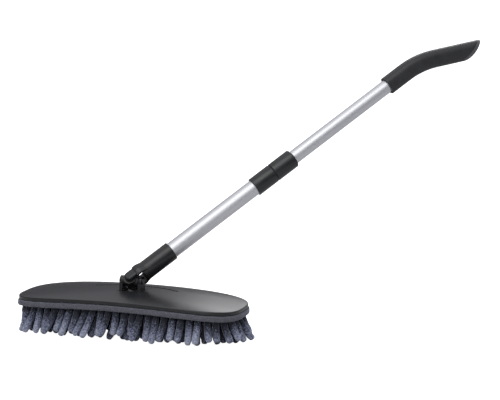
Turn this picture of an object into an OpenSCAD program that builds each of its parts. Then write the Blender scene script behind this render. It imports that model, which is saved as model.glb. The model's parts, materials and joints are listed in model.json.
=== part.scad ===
// Swivel-head mop with a telescopic pole and a bent grip.
// Millimetres, +Z up, +X along the head. The origin is on the floor under the middle of the head.

/* [Head plate] */
// Length of the head plate
plate_l = 350; // [290:1:420]
// Width of the head plate
plate_w = 129; // [106:1:156]
// Squareness of the plate's outline along its length
end_power = 4.56; // [3:0.01:6]
// Squareness of the plate's outline across its width
side_power = 3.07; // [2.2:0.01:4]
// How far the two ends drop below the middle
arch_drop = 8.5; // [4:0.5:12]
// Rise of the top face from its edge to its middle
crown_h = 5; // [4:0.5:8]
// Height of the rim at the plate's edge
rim_h = 5.5; // [4.5:0.5:8]
// Rounding between the top face and the rim
edge_r = 1.2; // [1:0.1:3]
// Wall of the moulded plate
plate_wall = 3; // [2:0.1:4]

/* [Groove in the plate] */
// Radius of the curved groove behind the swivel
groove_r = 157; // [120:1:200]
// Distance of the groove's middle from the plate's middle
groove_y = 31; // [24:1:38]
// Width of the groove
groove_w = 3.4; // [2:0.1:5]
// Depth of the groove
groove_depth = 1.6; // [0.8:0.1:2]
// Angle that the groove covers
groove_angle = 50; // [20:1:56]

/* [Under board and pad] */
// Thickness of the board that closes the plate from below
board_t = 1.8; // [1.5:0.1:2]
// Gap between the board's edge and the plate's wall
board_gap = 0.6; // [0.4:0.1:1]
// Thickness of the hook strips
strip_t = 1.2; // [0.8:0.1:2]
// Width of the hook strips
strip_w = 22; // [14:1:30]
// Distance of each hook strip from the plate's middle line
strip_y = 30; // [22:1:34]
// Height of the bound edge round the pad
hem_h = 9; // [6:0.5:12]
// Thickness of the bound edge
hem_t = 4; // [2:0.5:6]
// How far the bound edge stands out past the rim
hem_out = 1.8; // [0:0.1:3]
// Height of the chenille pile at the middle of the head
pile_h = 45.5; // [38:0.5:60]
// How far the pile's block stays inside the rim
pile_in = 1; // [0:0.5:6]

/* [Swivel] */
// Height of both swivel axes above the plate's edge
pivot_rise = 18; // [17:0.5:24]
// Gap between the two lugs
lug_gap = 24.4; // [24.2:0.1:28]
// Thickness of each lug
lug_t = 5; // [4.5:0.1:8]
// Radius of the top of each lug
lug_top_r = 7.3; // [6:0.1:9]
// Width of each lug at its foot
lug_foot_w = 18; // [16:0.5:26]
// Length of the swivel's foot along the head
foot_l = 38; // [35:1:48]
// Width of the swivel's foot
foot_w = 28; // [24:1:34]
// Thickness of the swivel's foot
foot_t = 3; // [2:0.1:3.5]
// Radius of the tilt pin
pin_r = 3; // [2:0.1:3.5]
// How far the tilt pin's head and cap stand out past the pin
pin_head_step = 1.6; // [1:0.1:2.4]
// Thickness of the tilt pin's head and cap
pin_head_t = 1.4; // [1:0.1:2.5]
// Radius of the two dowels on the swing axis
dowel_r = 2.4; // [1.5:0.1:3]
// Radius of the knuckle's round cheeks
cheek_r = 10.5; // [9.5:0.1:10.8]
// Half the width of the knuckle between the fork's prongs
knuckle_half = 10; // [9:0.1:10.4]
// Radius of the foot screws' shanks
foot_screw_r = 1.5; // [1.2:0.1:2]

/* [Fork and socket] */
// Thickness of each prong
prong_t = 6.4; // [5:0.1:7]
// Half the width of each prong, and the radius of its tip
prong_r = 7.2; // [6.4:0.1:8]
// Rounding of a prong's outer edges
prong_round = 3; // [1:0.1:4]
// How far the fork's arms swell out past the prongs
arm_swell = 1.2; // [0.8:0.1:1.2]
// Distance from the swing axis to the top of the fork's window
crotch_z = 21; // [19:0.5:26]
// Wall of the socket
socket_wall = 2.05; // [1.6:0.05:4]
// Distance from the swing axis to the open end of the socket
socket_end = 74; // [60:1:90]
// Length of tube inside the socket
socket_depth = 40; // [25:1:42]

/* [Pole] */
// Outer diameter of the lower tube
outer_d = 24.6; // [20:0.1:26]
// Wall of the lower tube
outer_wall = 0.8; // [0.6:0.05:0.9]
// Radial gap between the two tubes, which the plug and the stop ring fill
tube_gap = 0.8; // [0.5:0.05:1.2]
// Wall of the upper tube
inner_wall = 0.9; // [0.6:0.05:1.5]
// Distance from the swing axis to the lower edge of the collar
collar_z = 230; // [200:1:300]
// Distance from the swing axis to the mouth of the grip with the pole fully out
grip_z = 489; // [470:1:620]
// Length of the slide plug's flange
flange_l = 10; // [6:1:14]

/* [Collar] */
// Wall of the collar body
collar_wall = 2.2; // [1.5:0.05:4]
// Length of the collar body's outside
collar_l = 36; // [30:1:50]
// How far the lock nut stands out past the lower tube
nut_wall = 2.3; // [2.2:0.1:5]
// Length of the lock nut
nut_l = 38; // [34:1:50]
// Chamfer at the top of the lock nut
nut_chamfer = 2; // [0.5:0.1:3]
// Thickness of the ring between the collar body and the lock nut
ring_t = 1.2; // [0.6:0.1:2]

/* [Grip] */
// How far the grip stands out past the upper tube, at its top and underside
grip_over_top = 2.9; // [2.8:0.1:6]
// How far the grip stands out past the upper tube, at its sides
grip_over_side = 2.3; // [2.2:0.1:6]
// How far the grip's rounded corners stand out past the upper tube
grip_over_corner = 4.2; // [3.8:0.1:8]
// Wall of the grip's shell
grip_wall = 1.2; // [1:0.1:1.3]
// Straight length of the grip at its mouth
grip_straight = 35; // [30:1:50]
// Radius of the grip's bend
bend_r = 130; // [90:1:180]
// Angle of the grip's bend
bend_angle = 24; // [12:1:34]
// Straight length after the bend, to the tip
grip_end_l = 78.5; // [68:0.5:95]
// Radius of the grip's rounded end
grip_nose_r = 44; // [42:1:52]
// How far the rounded end leans back from square at its tip
nose_lean = 20; // [12:1:26]
// Thickness of the end cap
cap_t = 5; // [3:0.5:8]
// Distance from the grip's mouth to the first screw
screw_1_z = 13; // [9:1:20]
// Angle round the bend to the second screw
screw_2_angle = 7; // [3:0.5:10]
// Radius of the grip screws' heads
grip_screw_head_r = 3.2; // [2.5:0.1:3.8]

/* [Pose] */
// Lean of the pole about the tilt pin
tilt = 42; // [0:1:50]
// Lean of the pole about the fork's dowels
swing = 40.7; // [0:0.1:45]

/* [Hidden] */
$fn = 96;

// Clearances
run_gap = 0.05;
press_gap = 0.01;
join_lap = 1;
join_step = 0.05;
face_gap = 0.4;
sweep_gap = 0.8;
well_ledge = 1;

// Heights of the head, at its middle
rim_z = pile_h + hem_h;
edge_z = rim_z + rim_h;
crown_z = edge_z + crown_h;
pivot_z = edge_z + pivot_rise;
half_l = plate_l / 2;
half_w = plate_w / 2;
inner_edge_r = 0.3;
ceiling_gap = 0.7;
ceiling_z = max(edge_z - plate_wall, rim_z + board_t + ceiling_gap);
arch_r = (half_l * half_l + arch_drop * arch_drop) / (2 * arch_drop);
outline_points = 80;
crown_power = 2.2;
slab_lap = 3 * arch_drop;

// Swivel
foot_z = crown_z - foot_t;
foot_corner_r = 4;
seat_wall = 2;
lug_in = lug_gap / 2;
lug_out = lug_in + lug_t;
lug_mid = (lug_in + lug_out) / 2;
lug_shoulder_angle = 25;
pin_head_r = pin_r + pin_head_step;
prong_in = knuckle_half + face_gap;
prong_out = prong_in + prong_t;
prong_sweep_r = norm([prong_out - prong_round, prong_r - prong_round]) + prong_round;
well_r = max(prong_sweep_r, prong_out + arm_swell) + sweep_gap;
foot_screw_y = 5.5;
foot_screw_head_r = 2.8;
foot_screw_head_t = 2;
boss_floor = rim_z + board_t + 0.2;
foot_screw_seat = boss_floor + foot_screw_head_t + 0.3;
foot_screw_tip = pivot_z - pin_r - 1.5;
hub_r = 8.2;
cheek_t = 2.6;
knuckle_x = lug_in - face_gap;
dowel_in = pin_r + 1.4;
dowel_out = prong_in + prong_t / 2;

// Under board
board_in = plate_wall + board_gap;
board_screw_r = 1.5;
board_screw_head_r = 2.8;
board_screw_head_t = 1.2;
board_boss_r = 4;
board_screw_l = 6;
board_boss_h = 5.1;
board_boss_gap = 0.4;
board_screw_sink = 0.3;
board_screw_x_shares = [0.36, 0.72];
board_screw_y_share = 0.5;
board_screw_places = [for (sx = [-1, 1], k = board_screw_x_shares, sy = [-1, 1])
    [sx * k * half_l, sy * board_screw_y_share * half_w]];
strip_share = 0.82;

// Socket and tubes
outer_r = outer_d / 2;
socket_r = outer_r + socket_wall;
outer_bore_r = outer_r - outer_wall;
inner_r = outer_bore_r - tube_gap;
inner_bore_r = inner_r - inner_wall;
tube_start = socket_end - socket_depth;
arm_start = 10;
arm_blend = 3;
arm_foot_step = 0.5;
arm_r = prong_out + arm_swell;
arm_half_w = prong_r + arm_swell;
crotch_low = cheek_r + 1;
crotch_relief = 2.2;
crotch_half = prong_in + crotch_relief;
crotch_r = 3;
flare_start = 17;
flare_end = 28;
core_hole_r = 7;
core_hole_z = crotch_z + 4;
socket_screw_z = socket_end - 9;
socket_screw_r = 1.6;
socket_screw_head_r = 3.2;
socket_screw_head_t = 1;

// Collar
collar_r = outer_r + collar_wall;
nut_r = outer_r + nut_wall;
collar_top = collar_z + collar_l;
nut_z = collar_top + ring_t;
nut_top = nut_z + nut_l;
tube_end = collar_top - 8;
neck_r = outer_r + 0.3;
neck_bore_r = inner_r + 0.35;
neck_top = nut_z + 12;
collet_top = nut_top - 6;
collet_low_r = neck_r;
collet_high_r = inner_r + 1.3;
collet_slit = 1.6;
collet_straight = 4;

// Upper tube
plug_gap = 0.2;
stop_ring_l = 8;
stop_ring_gap = 0.5;
inner_overlap = 30;
inner_start = tube_end - inner_overlap;
spigot_l = 14;
inner_end = grip_z + grip_straight - 1;

// Grip
grip_d = 2 * (inner_r + grip_over_top);
grip_w = 2 * (inner_r + grip_over_side);
grip_round = inner_r + grip_over_corner;
grip_roll = atan2(sin(tilt), sin(swing) * cos(tilt));
core_gap = 0.1;
spine_w = 8;
core_start = 2;
grip_screw_r = 1.5;
grip_screw_head_t = 1;
grip_seat_x = grip_d / 2 - grip_wall - core_gap;
grip_seat_depth = 0.8;
grip_screw_reach = 5;
nose_z = grip_end_l - grip_nose_r * cos(nose_lean);
nose_x = -grip_d / 2 - grip_nose_r * sin(nose_lean);
cap_spigot_l = 7;
spine_gap = 10;
spine_end_l = nose_z - spine_gap;

// Drop of the arched head below its middle, at a distance x from it
function arch(x) = arch_r - sqrt(arch_r * arch_r - x * x);

// Outline of the head, grown outwards by a margin
function signed_pow(v, p) = sign(v) * pow(abs(v), p);
function outline(grow = 0, share = 1) = [for (i = [0:outline_points - 1])
    let (a = 360 * (i + 0.5) / outline_points)
    [share * (half_l + grow) * signed_pow(cos(a), 2 / end_power),
     share * (half_w + grow) * signed_pow(sin(a), 2 / side_power)]];

// Rings of the pillow-shaped top: outline margin, share of the outline, height over the edge
round_steps = 4;
crown_steps = 7;
function rounding(r) = [for (k = [0:round_steps])
    let (a = 90 * k / round_steps) [-r * (1 - cos(a)), 1, -r * (1 - sin(a))]];
function crowning(r, h) = [for (k = [1:crown_steps - 1])
    let (s = 1 - k / crown_steps) [-r, s, h * (1 - pow(s, crown_power))]];
function ring_points(margin, share, height) = [for (p = outline(margin, share))
    [p[0], p[1], height - arch(p[0])]];

// Solid under the crowned top face, down to a flat base
module pillow(margin, r, top, h, base) {
    rings = concat(rounding(r), crowning(r, h));
    n = outline_points;
    m = len(rings) + 1;
    foot = [for (p = outline(margin)) [p[0], p[1], base]];
    walls = [for (q = rings) ring_points(q[0] + margin, q[1], top + q[2])];
    points = concat(foot, [for (w = walls) for (p = w) p], [[0, 0, top + h], [0, 0, base]]);
    sides = [for (k = [0:m - 2], i = [0:n - 1], half = [0, 1])
        let (a = k * n + i, b = k * n + (i + 1) % n)
        half == 0 ? [a, a + n, b] : [b, a + n, b + n]];
    lid = [for (i = [0:n - 1]) [(m - 1) * n + i, m * n, (m - 1) * n + (i + 1) % n]];
    floor_faces = [for (i = [0:n - 1]) [i, (i + 1) % n, m * n + 1]];
    polyhedron(points, concat(sides, lid, floor_faces));
}

// Everything under the arched surface that is at height z over the middle of the head
module under_arch(z) {
    translate([0, 0, z - arch_r]) rotate([90, 0, 0])
        cylinder(r = arch_r, h = 2 * plate_w, center = true, $fn = 360);
}

// Arched slab with the head's outline
module arched_slab(z_low, z_high, grow) {
    difference() {
        intersection() {
            translate([0, 0, z_low - slab_lap])
                linear_extrude(z_high - z_low + 2 * slab_lap) polygon(outline(grow));
            under_arch(z_high);
        }
        under_arch(z_low);
    }
}

// Places of the pole's two frames
module at_pivot() { translate([0, 0, pivot_z]) children(); }
module tilted() { at_pivot() rotate([-tilt, 0, 0]) children(); }
module on_pole() { tilted() rotate([0, swing, 0]) children(); }
module along_x() { rotate([0, 90, 0]) children(); }
module along_y() { rotate([-90, 0, 0]) children(); }

module rounded_rect(l, w, r) {
    square([l - 2 * r, w], center = true);
    square([l, w - 2 * r], center = true);
    for (sx = [-1, 1], sy = [-1, 1])
        translate([sx * (l / 2 - r), sy * (w / 2 - r)]) circle(r);
}

module tube(r_out, r_in, z_low, z_high) {
    translate([0, 0, z_low]) difference() {
        cylinder(r = r_out, h = z_high - z_low);
        translate([0, 0, -1]) cylinder(r = r_in, h = z_high - z_low + 2);
    }
}

// Trough that the prong tips and the knuckle swing through
module well() {
    at_pivot() along_x() cylinder(r = well_r, h = lug_gap - 2 * well_ledge, center = true);
}

module foot_screw_spots() {
    for (sx = [-1, 1], sy = [-1, 1])
        translate([sx * lug_mid, sy * foot_screw_y, 0]) children();
}

module board_screw_spots() {
    for (p = board_screw_places)
        translate([p[0], p[1], rim_z - arch(p[0])]) children();
}

module groove_cut() {
    translate([0, groove_y - groove_r, crown_z - groove_depth - arch(groove_r * sin(groove_angle / 2))])
        rotate([0, 0, 90 - groove_angle / 2])
            rotate_extrude(angle = groove_angle, $fn = 180)
                translate([groove_r - groove_w / 2, 0]) square([groove_w, 20]);
}

// ---- Head ----

// Moulded plate: crowned top, rim, a seat for the swivel and bosses for the board's screws
module head_plate() {
    color("#484a4d") difference() {
        union() {
            difference() {
                pillow(0, edge_r, edge_z, crown_h, rim_z - 2 * arch_drop);
                pillow(-plate_wall, inner_edge_r, ceiling_z, crown_h, rim_z - 3 * arch_drop);
            }
            translate([0, 0, boss_floor]) linear_extrude(foot_z - boss_floor)
                rounded_rect(foot_l + 2 * seat_wall, foot_w + 2 * seat_wall, foot_corner_r);
            board_screw_spots() translate([0, 0, board_t + board_boss_gap])
                cylinder(r = board_boss_r, h = board_boss_h - board_boss_gap);
        }
        under_arch(rim_z);
        translate([0, 0, foot_z]) linear_extrude(20)
            rounded_rect(foot_l + 2 * face_gap, foot_w + 2 * face_gap, foot_corner_r);
        well();
        groove_cut();
        foot_screw_spots() {
            translate([0, 0, rim_z]) cylinder(r = foot_screw_r + run_gap, h = 20);
            translate([0, 0, rim_z]) cylinder(r = foot_screw_head_r + 0.3, h = foot_screw_seat - rim_z);
        }
        board_screw_spots() cylinder(r = board_screw_r + run_gap, h = board_screw_l);
    }
}

// Board that closes the plate from below and carries the hook strips
module under_board() {
    color("#2b2c2e") difference() {
        arched_slab(rim_z, rim_z + board_t, -board_in);
        board_screw_spots() {
            translate([0, 0, -1]) cylinder(r = board_screw_r + run_gap, h = board_t + 4);
            translate([0, 0, -1]) cylinder(r = board_screw_head_r + 0.2, h = board_screw_head_t + 1.1);
        }
    }
}

module board_screws() {
    color("silver") board_screw_spots() {
        translate([0, 0, board_screw_sink]) {
            cylinder(r = board_screw_head_r, h = board_screw_head_t - board_screw_sink);
            cylinder(r = board_screw_r, h = board_screw_l - 0.5 - board_screw_sink);
        }
    }
}

// Strips of hook tape along the board, which the pad's loops hold on to
module hook_strips() {
    color("#1c1c1e") for (sy = [-1, 1]) intersection() {
        arched_slab(rim_z - strip_t, rim_z, -board_in);
        translate([0, sy * strip_y, rim_z - arch_drop])
            cube([strip_share * plate_l, strip_w, slab_lap], center = true);
    }
}

// Foam sheet faced with loop cloth, inside the bound edge
module pad_base() {
    color("#5c5d66") arched_slab(pile_h, rim_z - strip_t, hem_out - hem_t);
}

// Bound edge that runs round the pad
module pad_hem() {
    color("#5a5b64") difference() {
        arched_slab(pile_h, rim_z, hem_out);
        linear_extrude(2 * rim_z) polygon(outline(hem_out - hem_t));
    }
}

// Block that the chenille fingers fill, flat where it rests on the floor
module chenille_pile() {
    color("#4e5268") intersection() {
        linear_extrude(pile_h) polygon(outline(-pile_in));
        under_arch(pile_h);
    }
}

// ---- Swivel ----

// Point on a lug's round top, a little past where a line from the foot's corner would touch it
function lug_shoulder(r, x, z) =
    let (a = atan2(z, x) + acos(r / norm([x, z])) + lug_shoulder_angle) [r * cos(a), r * sin(a)];

module lug_profile() {
    foot_drop = foot_z - pivot_z;
    shoulder = lug_shoulder(lug_top_r, lug_foot_w / 2, foot_drop);
    circle(r = lug_top_r);
    polygon([[lug_foot_w / 2, foot_drop], shoulder, [-shoulder[0], shoulder[1]],
        [-lug_foot_w / 2, foot_drop]]);
}

// Foot with two upright lugs
module swivel_base() {
    color("#2e2f31") difference() {
        union() {
            translate([0, 0, foot_z]) linear_extrude(foot_t) rounded_rect(foot_l, foot_w, foot_corner_r);
            for (side = [-1, 1]) at_pivot() translate([side * lug_mid - lug_t / 2, 0, 0])
                rotate([90, 0, 90]) linear_extrude(lug_t) lug_profile();
        }
        well();
        at_pivot() along_x() cylinder(r = pin_r + press_gap, h = foot_l, center = true);
        foot_screw_spots() translate([0, 0, foot_z - 1])
            cylinder(r = foot_screw_r + press_gap, h = foot_screw_tip - foot_z + 1.5);
    }
}

// Screws that hold the swivel's foot from under the plate
module foot_screws() {
    color("silver") foot_screw_spots() {
        translate([0, 0, foot_screw_seat - foot_screw_head_t])
            cylinder(r = foot_screw_head_r, h = foot_screw_head_t);
        translate([0, 0, foot_screw_seat - 0.5])
            cylinder(r = foot_screw_r, h = foot_screw_tip - foot_screw_seat + 0.5);
    }
}

// Pin of the tilt axis, headed at one end
module tilt_pin() {
    color("silver") at_pivot() along_x() {
        translate([0, 0, -lug_out]) cylinder(r = pin_r, h = 2 * lug_out + 1);
        translate([0, 0, -lug_out - pin_head_t]) cylinder(r = pin_head_r, h = pin_head_t);
    }
}

// Push-on cap that keeps the tilt pin in
module pin_cap() {
    color("silver") at_pivot() along_x() translate([0, 0, lug_out]) difference() {
        cylinder(r = pin_head_r, h = pin_head_t);
        translate([0, 0, -1]) cylinder(r = pin_r + press_gap, h = 2);
    }
}

// Knuckle between the lugs: a hub on the tilt pin with a round cheek for each prong
module swivel_knuckle() {
    color("#1f2022") tilted() difference() {
        union() {
            along_x() cylinder(r = hub_r, h = 2 * knuckle_x, center = true);
            along_y() cylinder(r = hub_r, h = 2 * knuckle_half, center = true);
            for (side = [-1, 1]) translate([0, side * (knuckle_half - cheek_t / 2), 0])
                along_y() cylinder(r = cheek_r, h = cheek_t, center = true);
        }
        along_x() cylinder(r = pin_r + run_gap, h = 3 * knuckle_x, center = true);
        for (side = [0, 180]) rotate([0, 0, side]) translate([0, dowel_in, 0])
            along_y() cylinder(r = dowel_r + press_gap, h = knuckle_half);
    }
}

// Steel dowels of the swing axis
module swing_dowels() {
    color("silver") tilted() for (side = [0, 180]) rotate([0, 0, side])
        translate([0, dowel_in, 0]) along_y() cylinder(r = dowel_r, h = dowel_out - dowel_in);
}

// ---- Fork and socket ----

// Section of a prong, across its width and outwards from the middle of the fork
module prong_half_section() {
    flat = prong_r - prong_round;
    translate([0, prong_in]) square([prong_r, prong_t - prong_round]);
    translate([0, prong_in]) square([flat, prong_t]);
    intersection() {
        translate([flat, prong_out - prong_round]) circle(r = prong_round);
        translate([0, prong_in]) square([prong_r, prong_t]);
    }
}

module prong() {
    along_y() rotate_extrude() prong_half_section();
    linear_extrude(flare_end + 4) {
        prong_half_section();
        mirror([1, 0]) prong_half_section();
    }
}

// Swell of one arm between its prong and the socket
module arm() {
    translate([-arm_half_w, 0, arm_start]) cube([2 * arm_half_w, arm_r, flare_end + 4 - arm_start]);
}

// Outside of the fork's arms and the socket, turned about the pole
module fork_envelope() {
    rotate_extrude() polygon([[0, -2 * prong_out], [2 * prong_out, -2 * prong_out],
        [2 * prong_out, arm_start - arm_foot_step], [prong_out + arm_foot_step, arm_start - arm_foot_step],
        [arm_r, arm_start + arm_blend], [arm_r, flare_start], [socket_r, flare_end],
        [socket_r, socket_end - 1], [socket_r - 1, socket_end], [0, socket_end]]);
}

// Space between the prongs, and the wider window over the knuckle's cheeks
module crotch_profile() {
    translate([-prong_in, -2 * prong_out]) square([2 * prong_in, 2 * prong_out + crotch_low + crotch_r]);
    translate([0, (crotch_low + crotch_z) / 2])
        rounded_rect(2 * crotch_half, crotch_z - crotch_low, crotch_r);
}

// Fork that straddles the knuckle, with a socket for the lower tube
module fork_socket() {
    color("#2e2f31") on_pole() difference() {
        intersection() {
            union() {
                for (side = [0, 180]) rotate([0, 0, side]) {
                    prong();
                    arm();
                }
                translate([0, 0, crotch_low]) cylinder(r = socket_r, h = socket_end);
            }
            fork_envelope();
        }
        rotate([90, 0, 90]) translate([0, 0, -2 * socket_r]) linear_extrude(4 * socket_r) crotch_profile();
        translate([0, 0, core_hole_z]) cylinder(r = core_hole_r, h = socket_end);
        translate([0, 0, tube_start]) cylinder(r = outer_r + press_gap, h = socket_end);
        for (side = [0, 180]) rotate([0, 0, side])
            along_y() cylinder(r = dowel_r + run_gap, h = dowel_out + 0.4);
        socket_screw_spot() {
            cylinder(r = socket_screw_r + run_gap, h = 3 * socket_r);
            translate([0, 0, socket_r - socket_screw_head_t]) cylinder(r = socket_screw_head_r + 0.2, h = 5);
        }
    }
}

module socket_screw_spot() {
    translate([0, 0, socket_screw_z]) along_y() children();
}

// Screw that fixes the lower tube in the socket
module socket_screw() {
    color("silver") on_pole() socket_screw_spot() {
        translate([0, 0, outer_bore_r + run_gap])
            cylinder(r = socket_screw_r, h = socket_r - outer_bore_r - 0.5);
        translate([0, 0, socket_r - socket_screw_head_t])
            cylinder(r = socket_screw_head_r, h = socket_screw_head_t);
    }
}

// ---- Pole ----

module outer_tube() {
    color("#d4d5d8") on_pole() difference() {
        tube(outer_r, outer_bore_r, tube_start, tube_end);
        socket_screw_spot() cylinder(r = socket_screw_r + run_gap, h = 2 * outer_r);
    }
}

// Sleeve fixed on the lower tube, with a neck that the lock nut turns on
module collar_body() {
    color("#2e2f31") on_pole() rotate_extrude() polygon([
        [outer_r + press_gap, collar_z], [collar_r - 0.6, collar_z], [collar_r, collar_z + 0.6],
        [collar_r, collar_top - 0.4], [collar_r - 0.4, collar_top], [neck_r, collar_top],
        [neck_r, neck_top], [neck_bore_r, neck_top], [neck_bore_r, tube_end],
        [outer_r + press_gap, tube_end]]);
}

// Soft ring in the gap between the collar body and the lock nut
module collar_ring() {
    color("#18181a") on_pole() tube(collar_r - 0.7, neck_r + press_gap, collar_top, nut_z - 0.1);
}

// Split cone that the lock nut squeezes on the upper tube
module clamp_collet() {
    color("#d8d4c8") on_pole() difference() {
        rotate_extrude() polygon([[inner_r + run_gap, neck_top], [collet_low_r, neck_top],
            [collet_low_r, neck_top + collet_straight], [collet_high_r, collet_top],
            [inner_r + run_gap, collet_top]]);
        translate([0, -collet_slit / 2, neck_top - 1]) cube([2 * neck_r, collet_slit, nut_l]);
    }
}

// Nut that turns on the neck to lock the pole's length
module lock_nut() {
    mouth_r = inner_r + 0.4;
    color("#2e2f31") on_pole() rotate_extrude() polygon([
        [neck_r + run_gap, nut_z], [nut_r - 0.8, nut_z], [nut_r, nut_z + 0.8],
        [nut_r, nut_top - nut_chamfer], [nut_r - nut_chamfer, nut_top], [mouth_r, nut_top],
        [mouth_r, collet_top + face_gap], [collet_high_r + face_gap, collet_top + face_gap],
        [collet_low_r + face_gap, neck_top + collet_straight],
        [neck_r + run_gap, neck_top + collet_straight]]);
}

// Plug at the bottom of the upper tube, which guides it in the lower one
module slide_plug() {
    color("#d8d4c8") on_pole() {
        translate([0, 0, inner_start - plug_gap - flange_l])
            cylinder(r = outer_bore_r - run_gap, h = flange_l);
        translate([0, 0, inner_start - plug_gap - 1])
            cylinder(r = inner_bore_r - run_gap, h = spigot_l);
    }
}

// Ring round the upper tube that stops it from coming out of the lower one
module stop_ring() {
    color("#d8d4c8") on_pole()
        tube(outer_bore_r - run_gap, inner_r + press_gap, tube_end - stop_ring_gap - stop_ring_l,
            tube_end - stop_ring_gap);
}

module inner_tube() {
    color("#d4d5d8") on_pole() difference() {
        tube(inner_r, inner_bore_r, inner_start, inner_end);
        on_grip() grip_screw_1() cylinder(r = grip_screw_r + run_gap, h = grip_d);
    }
}

// ---- Grip ----

module on_grip() { translate([0, 0, grip_z]) rotate([0, 0, grip_roll]) children(); }

module grip_section(inset) {
    intersection() {
        circle(r = grip_round - inset);
        square([grip_d - 2 * inset, grip_w - 2 * inset], center = true);
    }
}

// Carries the section along the grip's straight mouth, its bend and its end
module along_bend(angle) {
    translate([bend_r, 0, grip_straight]) rotate([90, 0, 180])
        rotate_extrude(angle = angle, $fn = 180) translate([bend_r, 0]) mirror([1, 0]) children();
}
module after_bend() {
    translate([bend_r * (1 - cos(bend_angle)), 0, grip_straight + bend_r * sin(bend_angle)])
        rotate([0, bend_angle, 0]) children();
}

// Straight end of the grip, lapped into the bend and a hair slimmer than it
module end_run(length) {
    translate([0, 0, -join_lap]) linear_extrude(length + join_lap) children();
}

// Round nose at the grip's end, moved back by a distance
module nose(back) {
    translate([nose_x, 0, nose_z - back]) rotate([90, 0, 0])
        cylinder(r = grip_nose_r, h = 2 * grip_w, center = true, $fn = 180);
    translate([-grip_d, -grip_w, -2 * join_lap])
        cube([2 * grip_d, 2 * grip_w, nose_z - back + 1 + 2 * join_lap]);
}

module grip_screw_1() { translate([0, 0, screw_1_z]) rotate([0, 90, 0]) children(); }
module grip_screw_2() {
    translate([bend_r, 0, grip_straight]) rotate([0, screw_2_angle, 0]) translate([-bend_r, 0, 0])
        rotate([0, 90, 0]) children();
}
module each_grip_screw() {
    grip_screw_1() children();
    grip_screw_2() children();
}

// Hard core: a sleeve for the upper tube and a spine that follows the bend
module grip_core() {
    inset = grip_wall + core_gap;
    color("#1f2022") on_pole() on_grip() difference() {
        union() {
            translate([0, 0, core_start]) linear_extrude(grip_straight - core_start + press_gap)
                grip_section(inset);
            along_bend(bend_angle) spine_section(inset);
            after_bend() end_run(spine_end_l) spine_section(inset + join_step);
        }
        translate([0, 0, -1]) cylinder(r = inner_r + press_gap, h = grip_straight + 1);
        each_grip_screw() {
            cylinder(r = grip_screw_r + press_gap, h = grip_d);
            translate([0, 0, grip_seat_x - grip_seat_depth])
                cylinder(r = grip_screw_head_r + 0.3, h = grip_d);
        }
    }
}
module spine_section(inset) {
    intersection() {
        grip_section(inset);
        square([2 * grip_d, spine_w], center = true);
    }
}

// Soft-touch shell of the grip
module grip_shell() {
    color("#3a3b3e") on_pole() on_grip() difference() {
        union() {
            linear_extrude(grip_straight) grip_section(0);
            along_bend(bend_angle) grip_section(0);
            after_bend() intersection() {
                end_run(grip_end_l) grip_section(join_step);
                nose(cap_t);
            }
        }
        translate([0, 0, -1]) linear_extrude(grip_straight + 1.01) grip_section(grip_wall);
        along_bend(bend_angle) grip_section(grip_wall);
        after_bend() end_run(grip_end_l) grip_section(grip_wall + join_step);
        each_grip_screw() cylinder(r = grip_screw_head_r + 0.3, h = grip_d);
    }
}

module grip_screws() {
    color("silver") on_pole() on_grip() each_grip_screw() {
        translate([0, 0, grip_seat_x - grip_seat_depth])
            cylinder(r = grip_screw_head_r, h = grip_screw_head_t);
        translate([0, 0, inner_bore_r - grip_screw_reach])
            cylinder(r = grip_screw_r, h = grip_seat_x - inner_bore_r + grip_screw_reach);
    }
}

// Cap that closes the rounded end
module grip_end_cap() {
    color("#55565a") on_pole() on_grip() after_bend() {
        difference() {
            intersection() {
                linear_extrude(grip_end_l) grip_section(join_step);
                nose(0);
            }
            nose(cap_t);
        }
        intersection() {
            translate([0, 0, nose_z - cap_spigot_l])
                linear_extrude(grip_end_l) grip_section(grip_wall + join_step + core_gap);
            nose(cap_t - press_gap);
        }
    }
}

head_plate();
under_board();
board_screws();
hook_strips();
pad_base();
pad_hem();
chenille_pile();
swivel_base();
foot_screws();
tilt_pin();
pin_cap();
swivel_knuckle();
swing_dowels();
fork_socket();
socket_screw();
outer_tube();
collar_body();
collar_ring();
clamp_collet();
lock_nut();
slide_plug();
stop_ring();
inner_tube();
grip_core();
grip_shell();
grip_screws();
grip_end_cap();
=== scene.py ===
# %% [markdown]
# # A swivel-head mop with a telescopic pole
#
# The mop has a long moulded head that carries a pad of chenille fingers, a swivel with two
# axes, a two-part aluminium pole with a twist lock, and a bent rubber grip. The pieces that
# turn, slide and screw together come from the CAD model and stay as they are. This lesson
# gives them their finishes, and models the soft and smooth pieces that CAD only blocks out.

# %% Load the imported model
import json
import math
import random

import bmesh
import bpy
import numpy as np
from mathutils import Matrix, Vector, noise


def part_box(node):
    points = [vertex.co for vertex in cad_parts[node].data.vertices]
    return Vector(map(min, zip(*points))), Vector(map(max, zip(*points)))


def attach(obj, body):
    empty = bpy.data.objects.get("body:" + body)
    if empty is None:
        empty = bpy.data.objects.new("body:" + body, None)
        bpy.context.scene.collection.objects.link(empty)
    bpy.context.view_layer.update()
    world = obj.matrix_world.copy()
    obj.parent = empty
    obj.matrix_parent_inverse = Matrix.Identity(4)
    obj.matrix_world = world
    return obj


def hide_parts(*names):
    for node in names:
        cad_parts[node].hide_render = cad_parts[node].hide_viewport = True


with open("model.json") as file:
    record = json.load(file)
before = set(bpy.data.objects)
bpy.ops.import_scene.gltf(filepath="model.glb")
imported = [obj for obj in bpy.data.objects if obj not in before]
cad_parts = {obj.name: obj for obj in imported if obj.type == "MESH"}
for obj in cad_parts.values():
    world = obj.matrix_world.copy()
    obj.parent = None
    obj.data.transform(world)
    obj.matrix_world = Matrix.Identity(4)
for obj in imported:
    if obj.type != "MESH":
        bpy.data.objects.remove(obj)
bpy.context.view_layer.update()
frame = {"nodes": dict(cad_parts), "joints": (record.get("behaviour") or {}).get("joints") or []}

MM = 0.001

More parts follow.
